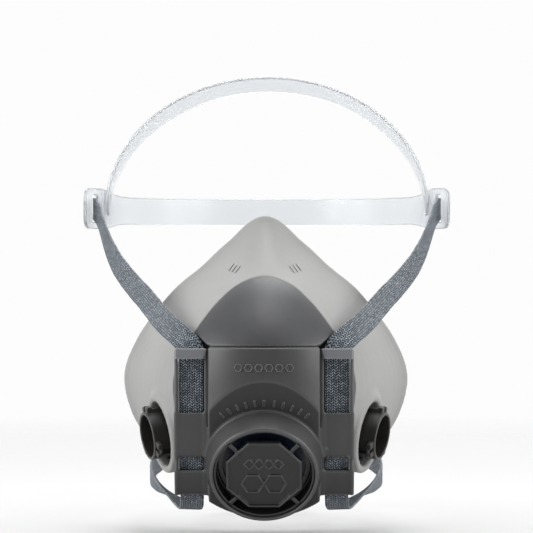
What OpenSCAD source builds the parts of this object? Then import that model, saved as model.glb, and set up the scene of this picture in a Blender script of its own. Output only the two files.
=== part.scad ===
// Reusable half-mask respirator with twin bayonet ports, worn-shape head harness and a clip-on front yoke.
// Millimetres. The wearer looks along -Y, +Z is up, and the origin is the centre of the face opening.

/* [Face seal] */
// Wall thickness of the elastomer face seal
seal_wall = 2.2; // [1.8:0.1:2.6]
// How far the in-turned sealing lip reaches inwards
lip_reach = 13; // [10:0.5:14]

/* [Exhalation valve and yoke] */
// Angle of the exhalation valve below the horizontal
valve_tilt = 28; // [26:0.5:30]
// Outer radius of the valve collar at its rim
collar_rim_r = 23.6; // [23.2:0.1:24]
// Height of the valve collar
collar_h = 11; // [10:0.5:12]
// Octagonal valve cover plate, across its flats
octagon_flats = 33; // [31:0.5:34]
// Half the width of the yoke across its strap rails
yoke_half_w = 39; // [38.6:0.1:39.4]

/* [Filter ports] */
// Outer radius of a bayonet port's tube
port_r = 10.75; // [10.5:0.05:10.9]
// Inner radius of a bayonet port's tube
port_bore_r = 9.5; // [9.2:0.05:9.6]
// How far a port's tube stands out of its boss
port_stand = 6; // [5:0.5:7]

/* [Harness] */
// Width of the elastic webbing
strap_w = 10.4; // [10:0.1:11]
// Thickness of the elastic webbing
strap_t = 1.2; // [1:0.1:1.4]
// Thickness of the clear head cradle
cradle_t = 1.6; // [1.4:0.1:2]

/* [Hidden] */
eps = 0.01;
fine = 96;

seal_grey = [0.71, 0.71, 0.70];
shell_grey = [0.33, 0.33, 0.34];
port_grey = [0.26, 0.24, 0.23];
flap_blue = [0.12, 0.17, 0.24];
webbing_grey = [0.36, 0.40, 0.44];
cradle_clear = [0.88, 0.91, 0.94, 0.4];
rubber_black = [0.10, 0.10, 0.10];

// Outlines of the mask about the Y axis, every 15 degrees: chin (-90), side (0), nose (90).
rim_r = [60, 60, 60, 61.5, 62.5, 64.9, 65.7, 61.9, 58.5, 57.5, 57.9, 63.6, 72.5];
rim_y = [16, 17, 20, 25, 28.5, 30, 29.5, 25, 19.5, 15.5, 11.5, 6.5, 0];
front_r = [58, 57, 54, 48.5, 43.5, 41.2, 40.3, 38.8, 37.6, 38.2, 40.5, 44, 46];
front_y = [-24, -25, -28, -32, -36, -38.5, -40, -42, -44, -42, -37, -32, -30];
outline_step = 15;
around = 48;        // sections around a loft
dome_front_y = -67; // front of the rigid shell before it is cut back for the yoke
joint_gap = 0.25;   // between the rigid shell's edge and the seal's edge

// Yoke: the centre panel is an upright cylinder, and the rails follow a larger cylinder that lies across.
panel_r = 44;
panel_axis_y = -22;
yoke_top = 15.2;
panel_half_w = 24.4;
yoke_gap = 0.7;     // between the yoke and the shell behind it
seam_z = 15.55;     // the shell's ledge over the yoke's top edge
channel_r = 144.8;   // floor of the shell's channels behind the webbing
rail_top = 14.2;
rail_r = 150;
rail_axis = [96, 5]; // y and z of the rails' cylinder axis
rail_inner = 25;
bar_z = [9.9, 14.5];
window_top = -13.6;
window_low = [-33.2, -39];
rail_bottom = -50;
rail_depth = 4.5;
skirt_arc = [-17.1, 43.4]; // centre height and radius
wall = 2.2;
strap_x = 31.75;
strap_path_r = 147;

// Valve frame: height 0 is the yoke's sloping base plane, and the valve axis points forwards and down.
valve_pos = [0, -46.8, -35.6];
shell_face_h = -2.8; // the rigid shell's flat front, below the base plane

// Port frame: height 0 is the outer face of the seal's boss, and the port axis points out, forwards and down.
port_pos = [47.2, -18, -25];
port_turn = [0, 99.2, -19.5];
boss_r = 18;
recess_r = 14.4;
recess_h = -6.6;
lug_count = 3;

// Routes of the webbing on the right side: centre of the webbing, then the way its outer face looks.
upper_route = [
    [[38, -44.6, 20.5], [0.45, -0.80, 0.35]],
    [[45.5, -29.5, 26.5], [0.65, -0.62, 0.40]],
    [[54, -4, 35], [0.75, -0.52, 0.38]],
    [[62, 17, 42.5], [0.83, -0.42, 0.30]],
    [[69.5, 36, 51], [0.90, -0.35, 0.20]],
    [[75, 54, 60], [0.95, -0.25, 0.10]],
    [[79.6, 71, 70.3], [0.97, -0.20, 0]]];
lower_route = [
    [[31.75, -38.6, -52.5], [0, -0.85, -0.50]],
    [[32.5, -32, -56.5], [0, -0.25, -0.97]],
    [[34.5, -20, -57.5], [0.10, 0, -1]],
    [[39.5, -2, -55.5], [0.35, 0.10, -0.93]],
    [[46.5, 16, -52.5], [0.70, 0, -0.70]],
    [[52, 34, -50], [0.95, -0.15, -0.25]],
    [[54.5, 52, -48], [1, 0, 0]],
    [[53.5, 72, -45.5], [0.98, 0.20, 0]],
    [[47, 94, -42], [0.82, 0.57, 0]],
    [[36, 110, -39.5], [0.55, 0.83, 0]],
    [[26, 117.4, -38], [0.25, 0.97, 0]]];

// Cradle: plates at the temples, flared forwards, and two half rings behind the head.
cradle_z = 78.2;
cradle_y = 102;
cradle_r = 81.6;
cradle_low_h = 14;
cradle_high_h = 12;
cradle_rise = 55;
plate_h = 20;
plate_l = 18;
plate_turn = 24.5;
plate_in = [80.6, 91];
slot_l = 8.5;
slot_h = 13;
slot_w = 5;
clasp_pos = [0, 119.5, -38];

function lerp(a, b, t) = a + (b - a) * t;
function unit(v) = v / norm(v);
function ease(t) = let(u = min(1, max(0, t))) u * u * (3 - 2 * u);
function cubic(p, t) = 0.5 * (2 * p[1] + (p[2] - p[0]) * t + (2 * p[0] - 5 * p[1] + 4 * p[2] - p[3]) * t * t
    + (3 * p[1] - p[0] - 3 * p[2] + p[3]) * t * t * t);
// A smooth curve through a list, at a fractional place; the list is mirrored past its ends.
function mirrored(list, i) = let(n = len(list) - 1) list[i < 0 ? -i : i > n ? 2 * n - i : i];
function at(list, u) = let(i = min(floor(u), len(list) - 2)) cubic([for (k = [-1:2]) mirrored(list, i + k)], u - i);
// The same on points, with the ends held.
function held(list, i) = list[max(0, min(len(list) - 1, i))];
function along(list, u) = let(i = min(floor(u), len(list) - 2)) cubic([for (k = [-1:2]) held(list, i + k)], u - i);
function bezier(p, t) = let(s = 1 - t) s * s * s * p[0] + 3 * s * s * t * p[1] + 3 * s * t * t * p[2] + t * t * t * p[3];
// Place in the outline lists for an angle about the Y axis; both sides of the mask are alike.
function place(a) = let(b = a > 90 && a < 270 ? 180 - a : a >= 270 ? a - 360 : a) (b + 90) / outline_step;
function polar(a, p) = [p[0] * cos(a), p[1], p[0] * sin(a)];

// One section of the seal in (radius, y): outer wall, sealing lip, then back along the inner wall.
function seal_wall_curve(a) =
    let(u = place(a), r0 = at(front_r, u), y0 = at(front_y, u) + joint_gap, r1 = at(rim_r, u), y1 = at(rim_y, u),
        e = r1 - r0, d = y1 - y0, nose = ease((u - 8) / 4))
    [[r0, y0], [r0 + lerp(0.45, 0.32, nose) * e, y0 + lerp(0.33, 0.36, nose) * d],
     [r1 - 0.30 * e, y1 - 0.10 * d], [r1, y1]];
function curve_normal(c, t) = let(q = bezier(c, min(1, t + 0.01)) - bezier(c, max(0, t - 0.01))) unit([q[1], -q[0]]);
function seal_section(a) =
    let(c = seal_wall_curve(a), rim = c[3], steps = 7)
    concat(
        [for (i = [0:steps]) bezier(c, i / steps)],
        [for (q = [[-0.3, 2.6], [-2.5, 4.8], [-7, 5.6], [-lip_reach, 4.2], [0.2 - lip_reach, 2.6], [-7, 4], [-3.6, 3.2]])
            rim + q],
        [for (i = [steps:-1:0]) let(t = 0.92 * i / steps) bezier(c, t) - seal_wall * curve_normal(c, t)]);

// A closed band: the same number of points in every section, joined to the next section all the way round.
module ring_loft(sections) {
    n = len(sections);
    m = len(sections[0]);
    polyhedron([for (s = sections) each s],
        [for (i = [0:n - 1], j = [0:m - 1]) let(k = (i + 1) % n, l = (j + 1) % m)
            each [[i * m + j, k * m + l, i * m + l], [i * m + j, k * m + j, k * m + l]]], convexity = 8);
}

// A bar of four-sided sections with flat ends.
module strip(sections) {
    n = len(sections);
    polyhedron([for (s = sections) each s],
        concat([[0, 1, 2], [0, 2, 3]],
            [for (i = [0:n - 2], j = [0:3]) let(l = (j + 1) % 4)
                each [[i * 4 + j, i * 4 + 4 + l, i * 4 + l], [i * 4 + j, i * 4 + 4 + j, i * 4 + 4 + l]]],
            [[n * 4 - 4, n * 4 - 2, n * 4 - 3], [n * 4 - 4, n * 4 - 1, n * 4 - 2]]), convexity = 8);
}

// A flat band through the stations of a route: its centre, the way its face looks and, if given, its width.
module webbing(route, per = 3, thick = strap_t) {
    last = (len(route) - 1) * per;
    p = [for (i = [0:last]) along([for (q = route) q[0]], i / per)];
    f = [for (i = [0:last]) along([for (q = route) q[1]], i / per)];
    widths = [for (i = [0:last]) along([for (q = route) len(q) > 2 ? q[2] : strap_w], i / per)];
    strip([for (i = [0:last])
        let(t = unit(held(p, i + 1) - held(p, i - 1)), b = unit(cross(t, f[i])), n = unit(cross(b, t)),
            w = widths[i] / 2, h = thick / 2)
        [p[i] - w * b - h * n, p[i] + w * b - h * n, p[i] + w * b + h * n, p[i] - w * b + h * n]]);
}

module on_port() { translate(port_pos) rotate(port_turn) children(); }
module on_valve() { translate(valve_pos) rotate([90 + valve_tilt, 0, 0]) children(); }
module tube(r, bore, low, high) {
    translate([0, 0, low]) difference() {
        cylinder(r = r, h = high - low, $fn = fine);
        translate([0, 0, -1]) cylinder(r = bore, h = high - low + 2, $fn = fine);
    }
}
module left() { mirror([1, 0, 0]) children(); }
module both() { children(); mirror([1, 0, 0]) children(); }

// Elastomer face seal with its lip, its two port bosses and the clamped rims around the port tubes.
module face_seal() {
    color(seal_grey) difference() {
        union() {
            ring_loft([for (i = [0:around - 1]) let(a = i * 360 / around) [for (q = seal_section(a)) polar(a, q)]]);
            both() on_port() translate([0, 0, -8.2]) cylinder(r = boss_r, h = 8.2, $fn = fine);
        }
        both() on_port() {
            translate([0, 0, recess_h]) cylinder(r = recess_r, h = 20, $fn = fine);
            translate([0, 0, -20]) cylinder(r = 11, h = 30, $fn = fine);
            translate([0, 0, -20]) cylinder(r = boss_r - 1, h = 11.8, $fn = fine);
        }
    }
}

// Solid dome of the rigid shell, drawn in by d.
module dome(d, back) {
    steps = 8;
    profile = [for (i = [0:around - 1])
        let(a = i * 360 / around, u = place(a), r = at(front_r, u) - d, y = at(front_y, u), f = dome_front_y + d,
            c = [[r, y], [r * 0.93, lerp(y, f, 0.34)], [r * 0.56, f], [0, f]])
        concat([polar(a, [r, back])], [for (k = [0:steps - 1]) polar(a, bezier(c, k / steps))])];
    m = steps + 1;
    top = around * m;
    polyhedron(concat([for (s = profile) each s], [[0, dome_front_y + d, 0], [0, back, 0]]),
        concat([for (i = [0:around - 1], j = [0:m - 2]) let(k = (i + 1) % around)
                each [[i * m + j, i * m + j + 1, k * m + j + 1], [i * m + j, k * m + j + 1, k * m + j]]],
            [for (i = [0:around - 1]) let(k = (i + 1) % around) [i * m + m - 1, top, k * m + m - 1]],
            [for (i = [0:around - 1]) let(k = (i + 1) % around) [i * m, k * m, top + 1]]), convexity = 6);
}
module behind_valve_plane(h) { on_valve() translate([-100, -100, h - 200]) cube([200, 200, 200]); }

// What the yoke and the webbing take out of the shell, grown by d: a step and two channels.
module yoke_room(d) {
    half = panel_half_w - 0.9 - d;
    difference() {
        translate([-half - 5, -90, -80]) cube([2 * half + 10, 68, seam_z + 80 + d]);
        translate([0, panel_axis_y, -90]) cylinder(r = panel_r - wall - yoke_gap - d, h = 180, $fn = 180);
    }
    difference() {
        both() rotate([90, 0, 0]) linear_extrude(height = 90)
            polygon([[half, -90], [half, seam_z + d], [half + 0.8, seam_z + d],
                [half + 11.8, seam_z + 10 + d], [60, seam_z + 10 + d], [60, -90]]);
        rail_side(channel_r - d);
    }
}
// Rigid shell: a dome over the nose, cut flat for the exhalation valve, with its edge against the seal.
module front_shell() {
    color(shell_grey) difference() {
        intersection() { dome(0, -10); behind_valve_plane(shell_face_h); edge_limit(); }
        yoke_room(0);
        difference() {
            intersection() { dome(wall, 0); behind_valve_plane(shell_face_h - wall); }
            yoke_room(wall);
        }
        on_valve() translate([0, 0, -30]) cylinder(r = 20.2, h = 40, $fn = fine);
        on_valve() translate([0, 0, -12]) cylinder(r = 22.6, h = 7.3, $fn = fine);
    }
}
// Everything in front of the seal's front edge.
module edge_limit() {
    n = around;
    ring = [for (i = [0:n - 1]) let(a = (i + 0.5) * 360 / n, u = place(a)) [a, at(front_r, u), at(front_y, u) - 0.15]];
    polyhedron(concat([for (e = ring) polar(e[0], [e[1] + 3, e[2]])], [for (e = ring) polar(e[0], [e[1] - 6, e[2]])],
            [for (e = ring) polar(e[0], [e[1] + 3, -90])], [[0, -30, 0], [0, -90, 0]]),
        [for (i = [0:n - 1]) let(k = (i + 1) % n)
            each [[i, 2 * n + i, 2 * n + k], [i, 2 * n + k, k], [i, k, n + k], [i, n + k, n + i],
                [n + i, n + k, 3 * n], [2 * n + i, 3 * n + 1, 2 * n + k]]], convexity = 6);
}

// Exhalation valve seat: tube, inner flange, sealing land and a four-armed spider.
module exhalation_seat() {
    color(shell_grey) on_valve() {
        tube(20, 18.2, -6, 1.5);
        tube(20, 15.5, -7.5, -6);
        tube(22.3, 20 - eps, -7.5, -6);
        tube(18.2, 15.5, -6, 0);
        difference() {
            union() {
                translate([0, 0, -3]) cylinder(r = 3, h = 2.4, $fn = fine);
                for (q = [0:3]) rotate(q * 90) translate([2.5, -0.8, -3]) cube([13.5, 1.6, 2]);
            }
            translate([0, 0, -4]) cylinder(r = 1.3, h = 6, $fn = fine);
        }
    }
}
module exhalation_gasket() { color(rubber_black) on_valve() tube(22.1, 20.3, -6, -5); }
// Mushroom valve: a thin disc with a stem through the spider's hub.
module exhalation_flap() {
    color(flap_blue) on_valve() {
        translate([0, 0, 0.05]) cylinder(r = 17.5, h = 0.8, $fn = fine);
        translate([0, 0, -4.7]) cylinder(r = 1, h = 4.8, $fn = fine);
        translate([0, 0, -6.2]) cylinder(r1 = 0.8, r2 = 1.9, h = 1.5, $fn = fine);
    }
}

// Space filled by the yoke's centre: an upright cylinder cut off by the valve's base plane.
module centre_block(d, h) {
    intersection() {
        translate([0, panel_axis_y, -70]) cylinder(r = panel_r - d, h = 120, $fn = 180);
        behind_valve_plane(h);
    }
}
module rail_side(outer) {
    translate([-60, rail_axis[0], rail_axis[1]]) rotate([0, 90, 0]) cylinder(r = outer, h = 120, $fn = 240);
}
// A ladder of two walls and two crossbars on the right side, from the front face back by depth.
module rail_slab(x0, x1, z0, z1, depth) {
    difference() {
        intersection() {
            rail_side(rail_r);
            translate([x0, -80, z0]) cube([x1 - x0, 60, z1 - z0]);
        }
        rail_side(rail_r - depth);
    }
}
module rail() {
    rail_slab(yoke_half_w - 1.3, yoke_half_w, rail_bottom, rail_top, rail_depth);
    rail_slab(rail_inner - 1, rail_inner + 1.1, rail_bottom, rail_top, rail_depth);
    rail_slab(rail_inner, yoke_half_w, window_low[0], window_top, 1.8);
    rail_slab(rail_inner, yoke_half_w, rail_bottom, window_low[1], 1.8);
}
// Skirt under the collar, with a shallow arc as its lower edge.
module skirt() {
    intersection() {
        translate([0, panel_axis_y, -66]) cylinder(r = panel_r, h = 24, $fn = 180);
        translate([-panel_half_w, -80, -66]) cube([2 * panel_half_w, 42, 24]);
        translate([0, -30, skirt_arc[0]]) rotate([90, 0, 0]) cylinder(r = skirt_arc[1], h = 40, $fn = 180);
        difference() { behind_valve_plane(5); behind_valve_plane(-wall); }
    }
}
// Front yoke: centre panel, sloping base with its collar, and the two strap rails.
module yoke() {
    color(shell_grey) difference() {
        union() {
            difference() {
                intersection() {
                    centre_block(0, 0);
                    translate([-panel_half_w, -80, -62]) cube([2 * panel_half_w, 60, yoke_top + 62]);
                    union() {
                        on_valve() translate([0, 0, -14]) cylinder(r = 32, h = 30, $fn = fine);
                        translate([-50, -90, -30]) cube([100, 90, 60]);
                    }
                    translate([-50, -90, -80]) cube([100, 52, 110]);
                }
                centre_block(wall, -wall);
            }
            both() rail();
            skirt();
            on_valve() cylinder(r1 = 26, r2 = collar_rim_r, h = collar_h, $fn = fine);
        }
        on_valve() translate([0, 0, 2]) cylinder(r = 22.1, h = 20, $fn = fine);
        on_valve() translate([0, 0, -30]) cylinder(r = 20.4, h = 40, $fn = fine);
    }
}
// Octagonal cover plate with a raised border, held by four arms in a ring inside the collar.
module valve_grille() {
    color(shell_grey) on_valve() {
        tube(22, 20.9, 2, 9.6);
        difference() {
            union() {
                rotate(22.5) translate([0, 0, 8]) cylinder(r = octagon_flats / 2 / cos(22.5), h = 3, $fn = 8);
                for (q = [0:3]) rotate(45 + q * 90) translate([15, -0.9, 7.6]) cube([6.1, 1.8, 2.6]);
            }
            rotate(22.5) translate([0, 0, 9.8]) cylinder(r = (octagon_flats / 2 - 1.3) / cos(22.5), h = 3, $fn = 8);
        }
    }
}
// Raised bar over the webbing at the head of a rail.
module strap_bar() {
    color(shell_grey) {
        h = bar_z[1] - bar_z[0];
        translate([rail_inner, -56.8, bar_z[0]]) cube([yoke_half_w - rail_inner - 0.3, 2.8, h]);
        translate([rail_inner + 1.3, -54.2, bar_z[0]]) cube([0.9, 2, h]);
        translate([yoke_half_w - 2.4, -54.2, bar_z[0]]) cube([0.9, 2, h]);
    }
}

// Bayonet port: a tube with a clamping flange and three lugs.
module port() {
    color(port_grey) on_port() {
        tube(port_r, port_bore_r, -7, port_stand);
        tube(14.1, port_r - eps, -6.5, -5);
        for (q = [0:lug_count - 1]) rotate(180 + q * 360 / lug_count) {
            difference() {
                intersection() {
                    tube(13.4, port_r - eps, port_stand - 3.2, port_stand - 0.8);
                    translate([0, -3.6, -10]) cube([20, 7.2, 30]);
                }
                translate([0, -1, port_stand - 2]) cube([20, 2, 3]);
            }
            intersection() {
                tube(12.6, port_r - eps, -5, port_stand - 3.2);
                translate([0, 2.4, -10]) cube([20, 1.2, 30]);
            }
        }
    }
}
module port_gasket() { color(rubber_black) on_port() tube(14, 12.8, -5, -3.6); }
// Inner ring that clamps the seal on the port, with the spider for the flap.
module inhalation_seat() {
    color(port_grey) on_port() {
        tube(15, 10.3, -9.8, -8.3);
        tube(10.95, 10.3, -8.3 - eps, -7.1);
        tube(15, 8.6, -11, -9.8);
        difference() {
            union() {
                translate([0, 0, -11]) cylinder(r = 2.6, h = 1.4, $fn = fine);
                for (q = [0:2]) rotate(q * 120) translate([2, -0.7, -11]) cube([7, 1.4, 1.2]);
            }
            translate([0, 0, -12]) cylinder(r = 1.3, h = 4, $fn = fine);
        }
    }
}
module inhalation_flap() {
    color(flap_blue) on_port() {
        translate([0, 0, -11.75]) cylinder(r = 10, h = 0.7, $fn = fine);
        translate([0, 0, -11.1]) cylinder(r = 0.9, h = 3, $fn = fine);
        translate([0, 0, -8.3]) cylinder(r1 = 1.9, r2 = 0.8, h = 0.8, $fn = fine);
    }
}

// Places on the webbing's own cylinder behind the rails, at height z.
function rail_point(z) = [[strap_x, rail_axis[0] - sqrt(strap_path_r * strap_path_r - pow(z - rail_axis[1], 2)), z],
    [0, -1, (z - rail_axis[1]) / strap_path_r]];
module upper_strap() {
    color(webbing_grey) webbing(concat([for (z = [-22, -14, -6, 2, 9.5, 14.5]) rail_point(z)], upper_route));
}
module lower_strap() {
    color(webbing_grey) webbing(concat([for (z = [-23, -30, -38, -46]) rail_point(z)], lower_route));
}
// End of the upper webbing, through the cradle's slot and back along the band.
module cradle_loop() {
    color(webbing_grey) webbing([
        [[81.3, 76.4, 74.6], [0.95, -0.28, 0]],
        [[82.7, 79.9, 76.6], [0.95, -0.28, 0]],
        [[83.9, 83.2, 77.9], [0.93, -0.37, 0]],
        [[84.2, 87.5, cradle_z], [0.98, 0.15, 0]],
        [[83.4, 96, cradle_z], [0.99, 0.05, 0]],
        [[83.3, 106, cradle_z], [1, 0.05, 0]]]);
}

// Head cradle: flared temple plates with a slot, and a band behind the head.
function plate_at(l) = [plate_in[0] + l * sin(plate_turn), plate_in[1] - l * cos(plate_turn), cradle_z];
function band_arc(r, rise, high, wide) = [for (a = [0:15:180])
    let(out = [cos(a), sin(a) * cos(rise), sin(a) * sin(rise)])
        [[0, cradle_y, cradle_z] + r * out, out, high + (wide - high) * ease(abs(a - 90) / 30 - 2)]];
module head_cradle() {
    mid_r = cradle_r - cradle_t / 2;
    tips = [for (l = [plate_l, plate_l / 2, 0]) [plate_at(l), [cos(plate_turn), sin(plate_turn), 0], plate_h]];
    flip = [for (i = [2, 1, 0]) let(q = tips[i]) [[-q[0][0], q[0][1], q[0][2]], [-q[1][0], q[1][1], 0], plate_h]];
    color(cradle_clear) difference() {
        webbing(concat(tips, band_arc(mid_r, 0, cradle_low_h, plate_h), flip), 3, cradle_t);
        both() translate(plate_at(slot_l)) rotate(plate_turn)
            translate([-5, -slot_w / 2, -slot_h / 2]) cube([10, slot_w, slot_h]);
    }
}
// Crown band: its ends lie on the inside of the cradle's low band.
module crown_band() {
    r = cradle_r - 1.5 * cradle_t - 0.4;
    color(cradle_clear) webbing(band_arc(r, cradle_rise, cradle_high_h, cradle_high_h), 3, cradle_t);
}

// Neck clasp: the eye half is a plate with a window, and the hook half has a peg in that window.
module clasp_plate(x0, x1) {
    difference() {
        translate([x0, 0, -8.5]) cube([x1 - x0, 2.4, 17]);
        for (x = [x1 - 7.6, x1 - 3.6]) translate([x, -1, -6.2]) cube([2.6, 5, 12.4]);
    }
}
module clasp_eye() {
    color(shell_grey) translate(clasp_pos) difference() {
        left() clasp_plate(-6, 30);
        translate([-4, -1, -5]) cube([7, 5, 10]);
    }
}
module clasp_hook() {
    color(shell_grey) translate(clasp_pos) {
        translate([-5.6, 2.8, -8.5]) cube([14, 2, 17]);
        translate([-3.6, 0.4, -4.6]) cube([6.2, 2.5, 9.2]);
        translate([8, 0, 0]) difference() {
            translate([0, 0.8, -8.5]) cube([22, 2.4, 17]);
            for (x = [14.4, 18.4]) translate([x, -1, -6.2]) cube([2.6, 6, 12.4]);
        }
    }
}

face_seal();
front_shell();
exhalation_seat();
exhalation_gasket();
exhalation_flap();
yoke();
valve_grille();
left() strap_bar();  // left_strap_bar
strap_bar();  // right_strap_bar
left() port();  // left_port
port();  // right_port
left() port_gasket();  // left_port_gasket
port_gasket();  // right_port_gasket
left() inhalation_seat();  // left_inhalation_seat
inhalation_seat();  // right_inhalation_seat
left() inhalation_flap();  // left_inhalation_flap
inhalation_flap();  // right_inhalation_flap
left() upper_strap();  // left_upper_strap
upper_strap();  // right_upper_strap
left() lower_strap();  // left_lower_strap
lower_strap();  // right_lower_strap
left() cradle_loop();  // left_cradle_loop
cradle_loop();  // right_cradle_loop
head_cradle();
crown_band();
clasp_eye();
clasp_hook();
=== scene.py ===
import math

import bpy
import numpy as np
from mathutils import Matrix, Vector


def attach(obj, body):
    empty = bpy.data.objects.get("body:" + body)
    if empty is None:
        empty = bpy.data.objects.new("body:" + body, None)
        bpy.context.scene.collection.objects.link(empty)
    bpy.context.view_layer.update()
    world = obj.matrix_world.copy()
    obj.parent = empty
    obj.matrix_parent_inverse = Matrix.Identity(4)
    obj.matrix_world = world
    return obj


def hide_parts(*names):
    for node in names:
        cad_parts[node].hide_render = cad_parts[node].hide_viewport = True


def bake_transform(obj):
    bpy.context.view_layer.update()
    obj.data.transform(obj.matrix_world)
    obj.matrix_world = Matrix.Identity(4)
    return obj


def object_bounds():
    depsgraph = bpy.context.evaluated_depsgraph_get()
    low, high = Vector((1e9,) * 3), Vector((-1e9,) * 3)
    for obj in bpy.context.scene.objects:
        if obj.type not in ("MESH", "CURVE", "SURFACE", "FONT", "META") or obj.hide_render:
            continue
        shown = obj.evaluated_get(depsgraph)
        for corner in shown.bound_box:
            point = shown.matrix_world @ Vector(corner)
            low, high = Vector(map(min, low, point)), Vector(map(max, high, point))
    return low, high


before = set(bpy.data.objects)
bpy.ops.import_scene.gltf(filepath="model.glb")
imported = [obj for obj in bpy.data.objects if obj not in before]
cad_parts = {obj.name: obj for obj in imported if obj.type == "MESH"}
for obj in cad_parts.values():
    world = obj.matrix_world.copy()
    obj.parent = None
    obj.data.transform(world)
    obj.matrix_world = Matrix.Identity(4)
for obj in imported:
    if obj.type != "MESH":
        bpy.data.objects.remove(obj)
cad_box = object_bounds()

import openvdb
from mathutils import Vector

MM = 0.001
FIELD_OF_VIEW = math.radians(11.5286)
FLOOR_DROP = 0.0102         # metres below the mask: the yoke drops this far when it is pulled off
FLOOR_RADIUS = 2.4
scene = bpy.context.scene


# ---------------------------------------------------------------- camera, light and floor
def make_camera():
    """A long lens level with the nose bridge, straight in front of the mask."""
    distance, azimuth, height, aim_x = 1.2, math.radians(0.5), 0.050, 0.0006
    data = bpy.data.cameras.new("camera")
    data.lens_unit = "FOV"
    data.angle = FIELD_OF_VIEW
    data.clip_end = 50
    cam = bpy.data.objects.new("camera", data)
    scene.collection.objects.link(cam)
    aim = Vector((aim_x, 0, height))
    cam.location = aim + distance * Vector((math.sin(azimuth), -math.cos(azimuth), 0))
    cam.rotation_euler = (math.pi / 2, 0, azimuth)
    scene.camera = cam


def make_light(name, place, target, energy, size):
    """A square white softbox, size across, at place and facing target."""
    data = bpy.data.lights.new(name, "AREA")
    data.energy = energy
    data.size = size
    lamp = bpy.data.objects.new(name, data)
    scene.collection.objects.link(lamp)
    lamp.location = Vector(place)
    lamp.rotation_euler = (Vector(target) - Vector(place)).to_track_quat("-Z", "Y").to_euler()


def make_world():
    """A white surround, dimmer ahead of the mask and below the horizon, so that its front stays dark."""
    scene.view_settings.view_transform = "Standard"
    world = bpy.data.worlds.new("studio")
    world.use_nodes = True
    tree = world.node_tree
    split = tree.nodes.new("ShaderNodeSeparateXYZ")
    tree.links.new(tree.nodes.new("ShaderNodeTexCoord").outputs["Generated"], split.inputs[0])
    ahead = tree.nodes.new("ShaderNodeMapRange")
    ahead.interpolation_type = "SMOOTHSTEP"
    below = tree.nodes.new("ShaderNodeMapRange")
    for node, socket, limits in ((ahead, 1, (-0.75, 0.5, 0.22, 0.98)), (below, 2, (-0.5, -0.15, 0.3, 1.0))):
        for key, value in zip(("From Min", "From Max", "To Min", "To Max"), limits):
            node.inputs[key].default_value = value
        tree.links.new(split.outputs[socket], node.inputs["Value"])
    both = tree.nodes.new("ShaderNodeMath")
    both.operation = "MULTIPLY"
    tree.links.new(ahead.outputs[0], both.inputs[0])
    tree.links.new(below.outputs[0], both.inputs[1])
    tree.nodes["Background"].inputs["Color"].default_value = (1, 1, 1, 1)
    tree.links.new(both.outputs[0], tree.nodes["Background"].inputs["Strength"])
    scene.world = world


def make_floor():
    """A pale disc that fades out into the backdrop's colour, so that no horizon shows."""
    low = cad_box[0].z - FLOOR_DROP
    rings, spokes = 24, 64
    verts = [(0, 0, low)]
    for i in range(1, rings + 1):
        r = FLOOR_RADIUS * (i / rings) ** 2
        verts += [(r * math.cos(2 * math.pi * k / spokes), r * math.sin(2 * math.pi * k / spokes), low)
                  for k in range(spokes)]
    faces = [(0, 1 + k, 1 + (k + 1) % spokes) for k in range(spokes)]
    for i in range(rings - 1):
        a, b = 1 + i * spokes, 1 + (i + 1) * spokes
        faces += [(a + k, b + k, b + (k + 1) % spokes, a + (k + 1) % spokes) for k in range(spokes)]
    mesh = bpy.data.meshes.new("floor")
    mesh.from_pydata(verts, [], faces)
    floor = bpy.data.objects.new("floor", mesh)
    scene.collection.objects.link(floor)
    m = Nodes("floor")
    metres_out = m.length(m.add("ShaderNodeTexCoord").outputs["Object"])
    fade = m.ramp(metres_out, [(0.30, (1, 1, 1)), (0.95, (0, 0, 0))])
    m.set(**{"Base Color": (0.58, 0.58, 0.58), "Roughness": 0.75, "Specular IOR Level": 0.1})
    m.link(fade, "Alpha")
    mesh.materials.append(m.material)


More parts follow.
